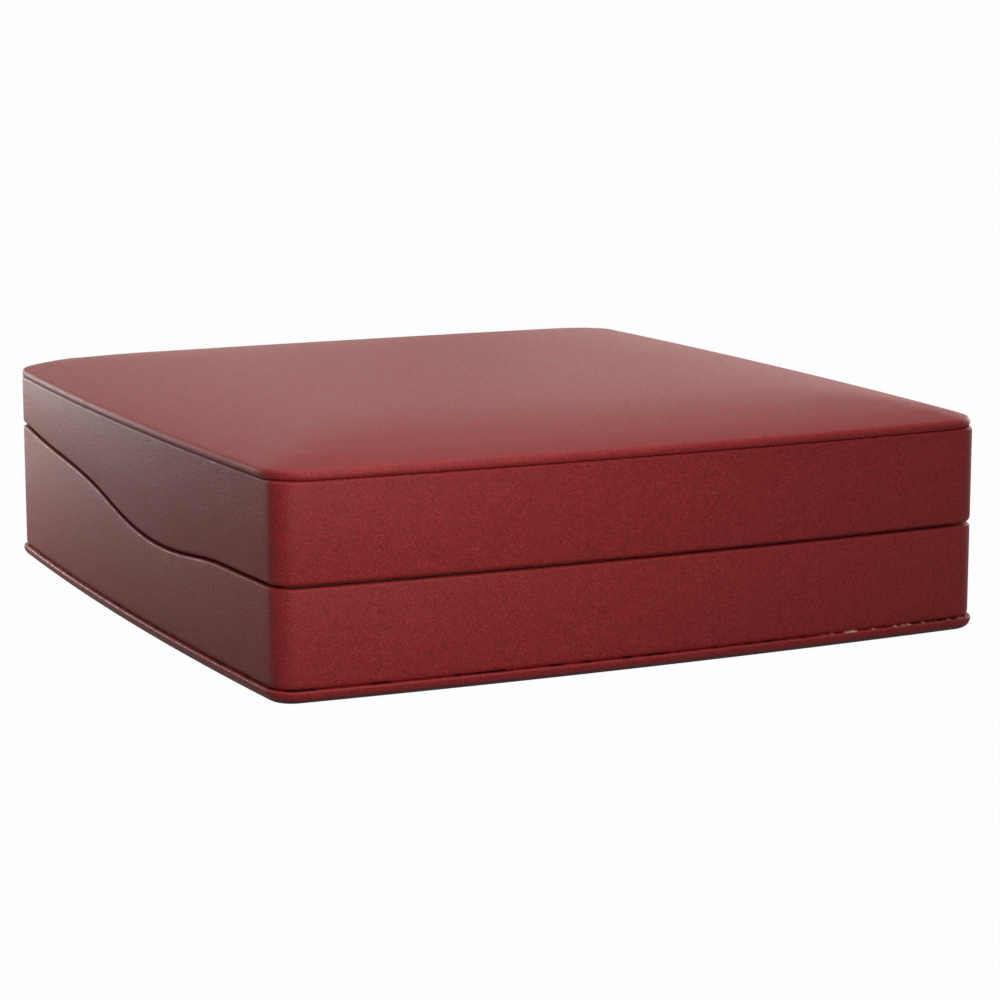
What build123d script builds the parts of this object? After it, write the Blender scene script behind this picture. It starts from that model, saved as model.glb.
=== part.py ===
"""Necklace box: a leather-covered case with bowed sides, a wavy parting line and a padded lid.

The origin is at the middle of the underside. +Z is up, the front faces -Y and the hinges are at +Y.
All sizes are in millimetres.
"""
import os

from build123d import *

# Outer leather faces of the walls
box_width = 175
box_depth = 185
side_bow = 2.5
corner_radius = 5.5
least_corner = 1
wall_top = 47.6

# Parting wave between base and lid, from front to back
front_parting = 24.9
back_parting = 34.6
wave_depth_shares = (-0.67, -0.36, 0.03, 0.18, 0.49, 0.77, 0.95)
wave_height_shares = (0, -0.21, 0.05, 0.34, 0.69, 0.88, 1)
rim_gap = 0.5

# Leather covering and moulded walls
leather = 0.6
turn_in = 4
turn_over = 12
tray_wall = 2
tray_floor = 2
lid_plate = 2

# Covered board under the base
bottom_board_thickness = 1.7
bottom_overhang = 0.8
bottom_roll = 1.3

# Padded panel on top of the lid
top_board_thickness = 1.1
top_overhang = 0.7
top_corner = 8
top_crown = 5.3

# How every padded panel swells from its edge to its middle
roll = 1
roll_share = 0.45
crown_power = 6
crown_plan_shares = (1, 0.985, 0.95, 0.9, 0.8, 0.65, 0.45)

# Lining of the base
floor_lining_thickness = 0.5
collar_gap = 0.3
collar_card_thickness = 1
velvet = 0.4
collar_rise = 3
collar_turn_down = 6

# Necklace pad and the foam blocks that carry it
block_width = 34
block_height = 7
block_inset = 14
pad_seat_gap = 0.1
pad_gap = 0.5
pad_corner = 3
pad_board_thickness = 1.5
pad_foam_edge = 2.4
pad_crown = 2.2
slit_length = 20
slit_width = 1.6
slit_angle = 30
slit_reach_x = 44
slit_reach_y = 56

# Ribbon tab that lifts the pad
ribbon = 0.4
ribbon_width = 12
ribbon_foot = 16
ribbon_stand = 6
ribbon_side_gap = 0.5

# Lining and padded panel inside the lid
lid_pad_gap = 0.4
lid_pad_corner = 3
lid_board_thickness = 1.2
satin = 0.3
lid_foam_edge = 1.5
lid_crown = 1.8

# Two spring hinges in the back walls
hinge_reach = 40
leaf_width = 22
leaf_length = 7.6
leaf_thickness = 0.6
leaf_relief = 0.2
middle_knuckle = 8.6
knuckle_gap = 0.2
barrel_radius = 1.2
pin_radius = 0.6
pin_clearance = 0.05
notch_clearance = 0.3
rivet_reach = 7
rivet_drop = 4.6
rivet_radius = 0.7
rivet_bite = 1
rivet_head_radius = 1.3
rivet_head = 0.4
strip_width = 6
strip_thickness = 0.3
strip_reach = 5.8
strip_tab = 1.2
strip_bow = 1.5

# How far a cutting block runs past what it cuts
overrun = 20

# Insets from the leather face, and levels, that follow from the sizes above
wall_inset = leather + tray_wall
inner_inset = wall_inset + leather
collar_outer = inner_inset + collar_gap
collar_inner = collar_outer + collar_card_thickness + 2 * velvet
pad_inset = collar_inner + pad_gap
lid_pad_inset = inner_inset + lid_pad_gap
tray_bottom = bottom_board_thickness + 2 * leather
floor_top = tray_bottom + tray_floor
lining_top = floor_top + floor_lining_thickness
pad_bottom = lining_top + block_height + pad_seat_gap
frame_top = wall_top - leather
ceiling = frame_top - lid_plate
hinge_y = box_depth / 2 + side_bow
hinge_seat = wall_inset + leaf_relief


def bowed_face(width, depth, radius, bow):
    """A rectangle with four bulging sides and round corners, drawn in the XY plane."""
    reach_x = width / 2 - radius
    reach_y = depth / 2 - radius
    with BuildSketch() as outline:
        with BuildLine():
            ThreePointArc((-reach_x, -reach_y), (0, -reach_y - bow), (reach_x, -reach_y))
            ThreePointArc((reach_x, -reach_y), (reach_x + bow, 0), (reach_x, reach_y))
            ThreePointArc((reach_x, reach_y), (0, reach_y + bow), (-reach_x, reach_y))
            ThreePointArc((-reach_x, reach_y), (-reach_x - bow, 0), (-reach_x, -reach_y))
        make_face()
        offset(amount=radius)
    return outline.sketch


def plan(inset, radius=None):
    """The box's plan outline, drawn in from the outer leather face by inset."""
    if radius is None:
        radius = max(corner_radius - inset, least_corner)
    return bowed_face(box_width - 2 * inset, box_depth - 2 * inset, radius, side_bow)


def slab(outline, bottom, top):
    """A block of one outline between two levels."""
    with BuildPart() as block:
        with BuildSketch(Plane.XY.offset(bottom)):
            add(outline)
        extrude(amount=top - bottom)
    return block.part


def ring(outer, inner, bottom, top):
    """A wall between two insets and two levels."""
    with BuildPart() as wall:
        with BuildSketch(Plane.XY.offset(bottom)):
            add(plan(outer))
            add(plan(inner), mode=Mode.SUBTRACT)
        extrude(amount=top - bottom)
    return wall.part


def below_parting(shift):
    """All the space under the parting wave, which is moved up by shift."""
    rise = back_parting - front_parting
    places = [share * box_depth / 2 for share in wave_depth_shares]
    levels = [front_parting + share * rise + shift for share in wave_height_shares]
    far = box_depth / 2 + overrun
    with BuildPart() as under:
        with BuildSketch(Plane.YZ):
            with BuildLine():
                Spline(*zip(places, levels), tangents=[(1, 0), (1, 0)])
                Polyline(
                    (places[-1], levels[-1]),
                    (far, levels[-1]),
                    (far, -overrun),
                    (-far, -overrun),
                    (-far, levels[0]),
                    (places[0], levels[0]),
                )
            make_face()
        extrude(amount=box_width / 2 + overrun, both=True)
    return under.part


def low_wall(outer, inner, bottom, shift):
    """A wall between two insets, from a level up to the moved parting wave."""
    with BuildPart() as wall:
        add(ring(outer, inner, bottom, wall_top))
        add(below_parting(shift), mode=Mode.INTERSECT)
    return wall.part


def high_wall(outer, inner, shift, top):
    """A wall between two insets, from the moved parting wave up to a level."""
    with BuildPart() as wall:
        add(ring(outer, inner, tray_bottom, top))
        add(below_parting(shift), mode=Mode.SUBTRACT)
    return wall.part


def crowned(seat, inset, radius, edge, crown):
    """A padded block on its seat plane: a rolled edge, then a crown that flattens to the middle."""
    edge_roll = min(roll, roll_share * edge)
    width = box_width - 2 * (inset + edge_roll)
    depth = box_depth - 2 * (inset + edge_roll)
    corner = radius - edge_roll
    with BuildPart() as pad:
        with BuildSketch(seat):
            add(plan(inset, radius))
        extrude(amount=edge)
        fillet(pad.faces().filter_by(Axis.Z).edges(), edge_roll)
        for share in crown_plan_shares:
            with BuildSketch(seat.offset(edge + crown * (1 - share**crown_power))):
                add(bowed_face(width * share, depth * share, corner * share, side_bow * share))
        loft()
    return pad.part


def padded_panel(seat, inset, radius, cloth, board_thickness, foam_edge, crown):
    """Board, foam and cover of a padded panel that is built up from its seat plane.

    The cover goes round the edge and under the board, where it leaves the middle bare.
    """
    core_edge = board_thickness + foam_edge
    core = crowned(seat.offset(cloth), inset + cloth, radius - cloth, core_edge, crown)
    board_plane = seat.offset(cloth + board_thickness)
    with BuildPart() as board:
        add(core)
        split(bisect_by=board_plane, keep=Keep.BOTTOM)
    with BuildPart() as foam:
        add(core)
        split(bisect_by=board_plane, keep=Keep.TOP)
    with BuildPart() as cover:
        add(crowned(seat, inset, radius, core_edge + 2 * cloth, crown))
        add(core, mode=Mode.SUBTRACT)
        with BuildSketch(seat):
            add(plan(inset + turn_over))
        extrude(amount=cloth, mode=Mode.SUBTRACT)
    return board, foam, cover


def hinge_box(bottom, top, near, far):
    """Cutting blocks at both hinges, with levels and depths counted from the pin's axis."""
    width = leaf_width + 2 * notch_clearance
    with BuildPart() as cutter:
        with BuildSketch(Plane.XY.offset(back_parting + bottom)):
            with Locations((-hinge_reach, hinge_y - near), (hinge_reach, hinge_y - near)):
                Rectangle(width, far - near, align=(Align.CENTER, Align.MAX))
        extrude(amount=top - bottom)
    return cutter.part


def rivet_plane(drop):
    """The plane of the leaves' seats at rivet height, facing into the box."""
    centre = (0, hinge_y - hinge_seat, back_parting + drop)
    return Plane(origin=centre, x_dir=(1, 0, 0), z_dir=(0, -1, 0))


def rivets(drop, bottom, top, radius):
    """A disc or shank at each of one body's four rivet places."""
    places = [(hinge_reach * side + rivet_reach * end, 0) for side in (-1, 1) for end in (-1, 1)]
    with BuildPart() as four:
        with BuildSketch(rivet_plane(drop).offset(bottom)):
            with Locations(*places):
                Circle(radius)
        extrude(amount=top - bottom)
    return four.part


def hinge_leaf(side, way, knuckles, bore):
    """A leaf: a plate on its seat, then a neck and a knuckle for each stretch of the pin it holds.

    way is -1 for the base's leaf, which hangs from the pin, and 1 for the lid's, which stands up.
    """
    middle = side * hinge_reach
    inner_face = hinge_seat + leaf_thickness
    plate_length = leaf_length - barrel_radius + leaf_thickness
    far_end = Align.MAX if way > 0 else Align.MIN
    with BuildPart() as leaf:
        with BuildSketch(Plane.YZ.offset(middle - leaf_width / 2)):
            with Locations((hinge_y - hinge_seat, back_parting + way * leaf_length)):
                Rectangle(leaf_thickness, plate_length, align=(Align.MAX, far_end))
        extrude(amount=leaf_width)
        for start, length in knuckles:
            with BuildSketch(Plane.YZ.offset(middle + start)):
                with Locations((hinge_y, back_parting)):
                    Circle(barrel_radius)
                with Locations((hinge_y, back_parting + way * barrel_radius)):
                    Rectangle(inner_face, leaf_thickness, align=(Align.MAX, far_end))
                with Locations((hinge_y, back_parting)):
                    Circle(bore, mode=Mode.SUBTRACT)
            extrude(amount=length)
        add(rivets(way * rivet_drop, 0, leaf_thickness, rivet_radius), mode=Mode.SUBTRACT)
    return leaf


def hinge_pin(side):
    """The pin through all knuckles of one hinge."""
    with BuildPart() as pin:
        with BuildSketch(Plane.YZ.offset(side * hinge_reach - leaf_width / 2)):
            with Locations((hinge_y, back_parting)):
                Circle(pin_radius)
        extrude(amount=leaf_width)
    return pin


def hinge_spring(side):
    """The bowed strip between both leaves that snaps the lid open and shut."""
    flat = hinge_y - hinge_seat - leaf_thickness
    low = back_parting - strip_reach
    high = back_parting + strip_reach
    with BuildPart() as strip:
        with BuildSketch(Plane.YZ.offset(side * hinge_reach - strip_width / 2)):
            with BuildLine():
                ThreePointArc((flat, low), (flat - strip_bow, back_parting), (flat, high))
                Polyline(
                    (flat, high),
                    (flat, high + strip_tab),
                    (flat - strip_thickness, high + strip_tab),
                    (flat - strip_thickness, high),
                )
                ThreePointArc(
                    (flat - strip_thickness, high),
                    (flat - strip_thickness - strip_bow, back_parting),
                    (flat - strip_thickness, low),
                )
                Polyline(
                    (flat - strip_thickness, low),
                    (flat - strip_thickness, low - strip_tab),
                    (flat, low - strip_tab),
                    (flat, low),
                )
            make_face()
        extrude(amount=strip_width)
    return strip


# Room for the hinges: a notch through each rim, and a flat seat for each leaf
seat_reach = leaf_length + notch_clearance
notch_reach = barrel_radius + notch_clearance
base_notch = hinge_box(-notch_reach, overrun, -overrun, inner_inset + side_bow)
lid_notch = hinge_box(-overrun, notch_reach, -overrun, inner_inset + side_bow)
base_seat = hinge_box(-seat_reach, overrun, hinge_seat, inner_inset + side_bow)
lid_seat = hinge_box(-overrun, seat_reach, hinge_seat, inner_inset + side_bow)
collar_notch = hinge_box(-seat_reach, overrun, hinge_seat, collar_inner + side_bow)

# Moulded tray of the base: a floor and four walls with wavy rims
with BuildPart() as base_tray:
    add(slab(plan(leather), tray_bottom, wall_top))
    add(slab(plan(wall_inset), floor_top, wall_top), mode=Mode.SUBTRACT)
    add(below_parting(-rim_gap / 2 - leather), mode=Mode.INTERSECT)
    add(base_notch, mode=Mode.SUBTRACT)
    add(base_seat, mode=Mode.SUBTRACT)
    add(rivets(-rivet_drop, -rivet_bite, 0, rivet_radius), mode=Mode.SUBTRACT)

# Leather round the tray, turned in over the rim
with BuildPart() as base_wrap:
    add(low_wall(0, inner_inset, tray_bottom, -rim_gap / 2))
    add(low_wall(leather, wall_inset, tray_bottom, -rim_gap / 2 - leather), mode=Mode.SUBTRACT)
    add(low_wall(wall_inset, inner_inset, tray_bottom, -rim_gap / 2 - turn_in), mode=Mode.SUBTRACT)
    add(base_notch, mode=Mode.SUBTRACT)
    add(base_seat, mode=Mode.SUBTRACT)

# Board under the tray, with a rounded edge
with BuildPart() as bottom_board:
    add(slab(plan(leather - bottom_overhang), leather, leather + bottom_board_thickness))
    board_roll = min(bottom_roll - leather, roll_share * bottom_board_thickness)
    fillet(bottom_board.faces().filter_by(Axis.Z).edges(), board_roll)

# Leather over the underside and edge of that board, turned over its top
with BuildPart() as bottom_cover:
    add(slab(plan(-bottom_overhang), 0, tray_bottom))
    fillet(bottom_cover.faces().filter_by(Axis.Z).edges(), board_roll + leather)
    add(bottom_board.part, mode=Mode.SUBTRACT)
    add(slab(plan(turn_over), leather + bottom_board_thickness, tray_bottom), mode=Mode.SUBTRACT)

# Card on the tray's floor
with BuildPart() as floor_lining:
    add(slab(plan(wall_inset), floor_top, lining_top))

# Bent card collar that stands in the tray and rises into the lid
with BuildPart() as collar_card:
    card_outer = collar_outer + velvet
    card_inner = collar_inner - velvet
    add(low_wall(card_outer, card_inner, lining_top, collar_rise - velvet))
    add(collar_notch, mode=Mode.SUBTRACT)

# Velvet over the collar's inner face and rim, turned down outside
with BuildPart() as collar_velvet:
    add(low_wall(collar_outer, collar_inner, lining_top, collar_rise))
    add(low_wall(card_outer, card_inner, lining_top, collar_rise - velvet), mode=Mode.SUBTRACT)
    velvet_end = collar_rise - collar_turn_down
    add(low_wall(collar_outer, card_outer, lining_top, velvet_end), mode=Mode.SUBTRACT)
    add(collar_notch, mode=Mode.SUBTRACT)

# Four foam blocks glued to the floor, which carry the necklace pad
with BuildPart() as pad_blocks:
    block_place_x = box_width / 2 - block_inset - block_width / 2
    block_place_y = box_depth / 2 - block_inset - block_width / 2
    with BuildSketch(Plane.XY.offset(lining_top)):
        with GridLocations(2 * block_place_x, 2 * block_place_y, 2, 2):
            Rectangle(block_width, block_width)
    extrude(amount=block_height)

# Necklace pad: board, foam and velvet, with two slits for the chain and a groove for the ribbon
pad_front = -(box_depth / 2 + side_bow - pad_inset)
pad_edge = pad_board_thickness + pad_foam_edge + 2 * velvet
pad_board, pad_foam, pad_cover = padded_panel(
    Plane.XY.offset(pad_bottom),
    pad_inset,
    pad_corner,
    velvet,
    pad_board_thickness,
    pad_foam_edge,
    pad_crown,
)
with BuildPart() as pad_cuts:
    with BuildSketch(Plane.XY.offset(pad_bottom)):
        for side in (-1, 1):
            with Locations((side * slit_reach_x, slit_reach_y)):
                SlotOverall(slit_length, slit_width, rotation=-side * slit_angle)
        with Locations((0, pad_front + ribbon)):
            groove_width = ribbon_width + 2 * ribbon_side_gap
            Rectangle(groove_width, ribbon + overrun, align=(Align.CENTER, Align.MAX))
    extrude(amount=pad_edge + pad_crown + overrun)
for layer in (pad_board, pad_foam, pad_cover):
    with layer:
        add(pad_cuts.part, mode=Mode.SUBTRACT)

# Ribbon glued under the pad, which stands up at the front edge
with BuildPart() as pull_tab:
    with BuildSketch(Plane.YZ.offset(-ribbon_width / 2)):
        with Locations((pad_front, pad_bottom - ribbon)):
            Rectangle(ribbon_foot, ribbon, align=Align.MIN)
            Rectangle(ribbon, ribbon + pad_edge + ribbon_stand, align=Align.MIN)
    extrude(amount=ribbon_width)

# Moulded lid frame: a top plate and four walls with wavy rims
with BuildPart() as lid_frame:
    add(slab(plan(leather), tray_bottom, frame_top))
    add(slab(plan(wall_inset), tray_bottom, ceiling), mode=Mode.SUBTRACT)
    add(below_parting(rim_gap / 2 + leather), mode=Mode.SUBTRACT)
    add(lid_notch, mode=Mode.SUBTRACT)
    add(lid_seat, mode=Mode.SUBTRACT)
    add(rivets(rivet_drop, -rivet_bite, 0, rivet_radius), mode=Mode.SUBTRACT)

# Leather round the lid, turned in under the rim and over the top plate
with BuildPart() as lid_wrap:
    add(high_wall(0, inner_inset, rim_gap / 2, frame_top))
    add(high_wall(leather, wall_inset, rim_gap / 2 + leather, frame_top), mode=Mode.SUBTRACT)
    add(high_wall(wall_inset, inner_inset, rim_gap / 2 + turn_in, frame_top), mode=Mode.SUBTRACT)
    add(ring(0, turn_over, frame_top, wall_top))
    add(lid_notch, mode=Mode.SUBTRACT)
    add(lid_seat, mode=Mode.SUBTRACT)

# Padded leather panel on top
top_board, top_foam, top_cover = padded_panel(
    Plane.XY.offset(wall_top),
    -top_overhang,
    top_corner,
    leather,
    top_board_thickness,
    0,
    top_crown,
)

# Card strip on the lid's inner walls, level with the turned-in leather
with BuildPart() as lid_lining:
    add(high_wall(wall_inset, inner_inset, rim_gap / 2 + turn_in, ceiling))
    add(lid_seat, mode=Mode.SUBTRACT)

# Padded satin panel under the top plate
lid_pad_board, lid_pad_foam, lid_pad_satin = padded_panel(
    Plane(origin=(0, 0, ceiling), x_dir=(1, 0, 0), z_dir=(0, 0, -1)),
    lid_pad_inset,
    lid_pad_corner,
    satin,
    lid_board_thickness,
    lid_foam_edge,
    lid_crown,
)

# Hinges: each base leaf holds the pin with two knuckles, and the lid's leaf turns on it with one
outer_knuckle = (leaf_width - middle_knuckle) / 2 - knuckle_gap
base_knuckles = ((-leaf_width / 2, outer_knuckle), (leaf_width / 2 - outer_knuckle, outer_knuckle))
lid_knuckles = ((-middle_knuckle / 2, middle_knuckle),)
hinge_pieces = {}
for name, side in (("left", -1), ("right", 1)):
    hinge_pieces[f"hinge_{name}_base_leaf"] = hinge_leaf(side, -1, base_knuckles, pin_radius)
    hinge_pieces[f"hinge_{name}_lid_leaf"] = hinge_leaf(
        side, 1, lid_knuckles, pin_radius + pin_clearance
    )
    hinge_pieces[f"hinge_{name}_pin"] = hinge_pin(side)
    hinge_pieces[f"hinge_{name}_spring"] = hinge_spring(side)

# Rivets through the leaves into the moulded walls, four to each body
rivet_groups = {}
for name, way in (("base_rivets", -1), ("lid_rivets", 1)):
    with BuildPart() as group:
        add(rivets(way * rivet_drop, -rivet_bite, leaf_thickness, rivet_radius))
        head_top = leaf_thickness + rivet_head
        add(rivets(way * rivet_drop, leaf_thickness, head_top, rivet_head_radius))
    rivet_groups[name] = group

pieces = {
    "base_tray": base_tray,
    "base_wrap": base_wrap,
    "bottom_board": bottom_board,
    "bottom_cover": bottom_cover,
    "floor_lining": floor_lining,
    "collar_card": collar_card,
    "collar_velvet": collar_velvet,
    "pad_blocks": pad_blocks,
    "pad_board": pad_board,
    "pad_foam": pad_foam,
    "pad_cover": pad_cover,
    "pull_tab": pull_tab,
    "lid_frame": lid_frame,
    "lid_wrap": lid_wrap,
    "top_board": top_board,
    "top_foam": top_foam,
    "top_cover": top_cover,
    "lid_lining": lid_lining,
    "lid_pad_board": lid_pad_board,
    "lid_pad_foam": lid_pad_foam,
    "lid_pad_satin": lid_pad_satin,
    **hinge_pieces,
    **rivet_groups,
}

os.makedirs("parts", exist_ok=True)
for name, piece in pieces.items():
    piece.part.label = name
    export_step(piece.part, f"parts/{name}.step")
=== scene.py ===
"""Necklace box, closed: a leatherette case with bowed sides and a padded, hinged lid."""

import math

import bmesh
import bpy
import numpy as np
from mathutils import Matrix, Vector


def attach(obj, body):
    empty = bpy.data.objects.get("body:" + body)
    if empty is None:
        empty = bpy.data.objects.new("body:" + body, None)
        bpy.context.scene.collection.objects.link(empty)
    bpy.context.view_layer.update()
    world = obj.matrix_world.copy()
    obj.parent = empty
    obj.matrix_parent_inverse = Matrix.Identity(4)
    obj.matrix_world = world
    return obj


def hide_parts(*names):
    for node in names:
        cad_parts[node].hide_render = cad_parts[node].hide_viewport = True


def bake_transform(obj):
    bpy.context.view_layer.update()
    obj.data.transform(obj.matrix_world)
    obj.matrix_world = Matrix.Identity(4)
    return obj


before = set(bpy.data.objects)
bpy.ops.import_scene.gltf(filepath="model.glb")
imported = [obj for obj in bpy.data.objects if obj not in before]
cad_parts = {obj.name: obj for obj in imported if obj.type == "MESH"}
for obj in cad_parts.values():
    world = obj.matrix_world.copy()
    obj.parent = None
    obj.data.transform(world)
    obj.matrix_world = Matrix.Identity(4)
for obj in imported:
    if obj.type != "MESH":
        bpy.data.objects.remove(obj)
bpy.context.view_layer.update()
mm = 0.001

# Camera
# The photograph is taken from a little above the table, from the front left, with a long lens
# about three quarters of a metre away.
camera_turn = math.radians(25.53)
camera_tilt = math.radians(10.25)
camera_distance = 739.76 * mm
aim_height = 25 * mm
shift_right = 7.41 * mm
shift_down = 2.72 * mm
looking = Vector(
    (
        math.sin(camera_turn) * math.cos(camera_tilt),
        math.cos(camera_turn) * math.cos(camera_tilt),
        -math.sin(camera_tilt),
    )
)
to_right = looking.cross(Vector((0, 0, 1))).normalized()
to_top = to_right.cross(looking)
camera_data = bpy.data.cameras.new("camera")
camera_data.sensor_width = 36
camera_data.lens = 107.52
camera = bpy.data.objects.new("camera", camera_data)
camera.location = (
    Vector((0, 0, aim_height))
    - looking * camera_distance
    + to_right * shift_right
    - to_top * shift_down
)
camera.rotation_euler = looking.to_track_quat("-Z", "Y").to_euler()
bpy.context.scene.collection.objects.link(camera)
bpy.context.scene.camera = camera

# Table and light
# Soft lamps stand in front, above, behind and on the right, and two small ones light the table
# behind the box's left side. The table and the air stay white to the camera and pale in gloss.
bpy.context.scene.view_settings.view_transform = "Standard"


def seen_directly(tree, by_camera, in_gloss):
    """A share for what the camera sees, one for gloss and glass, and 0 for diffuse light."""
    rays = tree.nodes.new("ShaderNodeLightPath")
    shiny = tree.nodes.new("ShaderNodeMath")
    shiny.operation = "MAXIMUM"
    tree.links.new(rays.outputs["Is Glossy Ray"], shiny.inputs[0])
    tree.links.new(rays.outputs["Is Transmission Ray"], shiny.inputs[1])
    shiny_share = tree.nodes.new("ShaderNodeMath")
    shiny_share.operation = "MULTIPLY"
    shiny_share.inputs[1].default_value = in_gloss
    tree.links.new(shiny.outputs[0], shiny_share.inputs[0])
    share = tree.nodes.new("ShaderNodeMath")
    share.operation = "MULTIPLY_ADD"
    share.inputs[1].default_value = by_camera
    tree.links.new(rays.outputs["Is Camera Ray"], share.inputs[0])
    tree.links.new(shiny_share.outputs[0], share.inputs[2])
    return share.outputs[0]


room = bpy.data.worlds.new("room")
room.use_nodes = True
bpy.context.scene.world = room
room_light = room.node_tree.nodes["Background"]
room_light.inputs["Color"].default_value = (1, 1, 1, 1)
room_light.inputs["Strength"].default_value = 0.1
room_white = room.node_tree.nodes.new("ShaderNodeBackground")
room_white.inputs["Color"].default_value = (1, 1, 1, 1)
room_choice = room.node_tree.nodes.new("ShaderNodeMixShader")
room.node_tree.links.new(seen_directly(room.node_tree, 1, 0.8), room_choice.inputs["Fac"])
room.node_tree.links.new(room_light.outputs[0], room_choice.inputs[1])
room.node_tree.links.new(room_white.outputs[0], room_choice.inputs[2])
room.node_tree.links.new(
    room_choice.outputs[0], room.node_tree.nodes["World Output"].inputs["Surface"]
)

table_finish = bpy.data.materials.new("white_table")
table_finish.use_nodes = True
table_tree = table_finish.node_tree
table_paint = table_tree.nodes["Principled BSDF"]
table_paint.inputs["Roughness"].default_value = 0.8
table_paint.inputs["Specular IOR Level"].default_value = 0.1
table_speckle = table_tree.nodes.new("ShaderNodeTexNoise")
table_speckle.inputs["Scale"].default_value = 900
table_tone = table_tree.nodes.new("ShaderNodeValToRGB")
table_tone.color_ramp.elements[0].color = (0.27, 0.27, 0.27, 1)
table_tone.color_ramp.elements[1].color = (0.31, 0.31, 0.31, 1)
table_tree.links.new(table_speckle.outputs["Fac"], table_tone.inputs["Fac"])
table_tree.links.new(table_tone.outputs["Color"], table_paint.inputs["Base Color"])
table_white = table_tree.nodes.new("ShaderNodeEmission")
table_white.inputs["Color"].default_value = (1, 1, 1, 1)
table_choice = table_tree.nodes.new("ShaderNodeMixShader")
table_tree.links.new(seen_directly(table_tree, 0.98, 0.4), table_choice.inputs["Fac"])
table_tree.links.new(table_paint.outputs[0], table_choice.inputs[1])
table_tree.links.new(table_white.outputs[0], table_choice.inputs[2])
table_tree.links.new(
    table_choice.outputs[0], table_tree.nodes["Material Output"].inputs["Surface"]
)
bm = bmesh.new()
bmesh.ops.create_grid(bm, x_segments=8, y_segments=8, size=60)
table_mesh = bpy.data.meshes.new("table")
bm.to_mesh(table_mesh)
bm.free()
table_mesh.materials.append(table_finish)
table = bpy.data.objects.new("table", table_mesh)
bpy.context.scene.collection.objects.link(table)


def soft_lamp(name, place, aim, size, power, tint):
    """A square soft box at a place, turned to a point of the box."""
    lamp_data = bpy.data.lights.new(name, "AREA")
    lamp_data.size = size
    lamp_data.energy = power
    lamp_data.color = tint
    lamp = bpy.data.objects.new(name, lamp_data)
    lamp.location = place
    lamp.rotation_euler = (Vector(aim) - Vector(place)).to_track_quat("-Z", "Y").to_euler()
    lamp.visible_camera = False
    bpy.context.scene.collection.objects.link(lamp)


soft_lamp("front_lamp", (-0.085, -0.26, 0.1), (-0.07, -0.09, 0.025), 0.1, 0.22, (1, 0.98, 0.95))
soft_lamp("fill_lamp", (0.0, -0.5, 0.4), (-0.05, -0.09, 0.02), 0.2, 0.53, (1, 0.98, 0.95))
soft_lamp("top_lamp", (0, 0, 0.8), (0, 0, 0.05), 0.5, 3.3, (1, 0.94, 0.87))
soft_lamp("back_lamp", (0.15, 1.0, 0.15), (0, 0, 0.05), 0.5, 0.85, (1, 0.94, 0.86))
soft_lamp("right_lamp", (0.28, 0.35, 0.14), (0.05, 0.02, 0.05), 0.2, 0.13, (1, 0.94, 0.86))
soft_lamp("right_wall_lamp", (0.7, 0.35, 0.08), (0.09, 0, 0.03), 0.3, 2.4, (1, 0.97, 0.93))
soft_lamp("table_lamp", (-0.2, 0.33, 0.1), (-0.17, 0.3, 0), 0.08, 0.17, (1, 0.97, 0.92))
soft_lamp("side_lamp", (-0.15, 0.25, 0.05), (-0.14, 0.24, 0), 0.05, 0.44, (1, 0.97, 0.92))

# Moulded tray
# The base's tray is moulded in black polystyrene with a fine matt texture. It carries
# everything in the base, and its wavy rim sets the parting line.


def new_finish(name, roughness, gloss=0.5):
    """A node material, its shader, and the place of each point on the object.

    The roughness given here is the middle one, which a pattern then varies.
    """
    finish = bpy.data.materials.new(name)
    finish.use_nodes = True
    shader = finish.node_tree.nodes["Principled BSDF"]
    shader.inputs["Roughness"].default_value = roughness
    shader.inputs["Specular IOR Level"].default_value = gloss
    place = finish.node_tree.nodes.new("ShaderNodeTexCoord").outputs["Object"]
    return finish, shader, place


def stretched(finish, place, times):
    """The same place with each direction's pattern made finer by its own factor."""
    mapping = finish.node_tree.nodes.new("ShaderNodeMapping")
    mapping.inputs["Scale"].default_value = times
    finish.node_tree.links.new(place, mapping.inputs["Vector"])
    return mapping.outputs["Vector"]


def speckle(finish, place, scale, detail=2.0):
    """A cloudy pattern with so many clouds to the metre."""
    noise = finish.node_tree.nodes.new("ShaderNodeTexNoise")
    noise.inputs["Scale"].default_value = scale
    noise.inputs["Detail"].default_value = detail
    finish.node_tree.links.new(place, noise.inputs["Vector"])
    return noise.outputs["Fac"]


def sum_of(finish, *parts):
    """Patterns added up, each with its share."""
    total = None
    for pattern, share in parts:
        step = finish.node_tree.nodes.new("ShaderNodeMath")
        step.operation = "MULTIPLY_ADD"
        step.inputs[1].default_value = share
        step.inputs[2].default_value = 0
        finish.node_tree.links.new(pattern, step.inputs[0])
        if total is not None:
            finish.node_tree.links.new(total, step.inputs[2])
        total = step.outputs[0]
    return total


def tones(finish, pattern, *stops):
    """Colours along a pattern, each stop a level and a colour."""
    ramp = finish.node_tree.nodes.new("ShaderNodeValToRGB")
    while len(ramp.color_ramp.elements) < len(stops):
        ramp.color_ramp.elements.new(0.5)
    for element, (level, colour) in zip(ramp.color_ramp.elements, stops):
        element.position = level
        element.color = (*colour, 1)
    finish.node_tree.links.new(pattern, ramp.inputs["Fac"])
    return ramp.outputs["Color"]


def levels(finish, pattern, low, high, start=0.3, end=0.7):
    """A number that runs from low to high along a pattern."""
    spread = finish.node_tree.nodes.new("ShaderNodeMapRange")
    spread.inputs["From Min"].default_value = start
    spread.inputs["From Max"].default_value = end
    spread.inputs["To Min"].default_value = low
    spread.inputs["To Max"].default_value = high
    finish.node_tree.links.new(pattern, spread.inputs["Value"])
    return spread.outputs["Result"]


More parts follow.
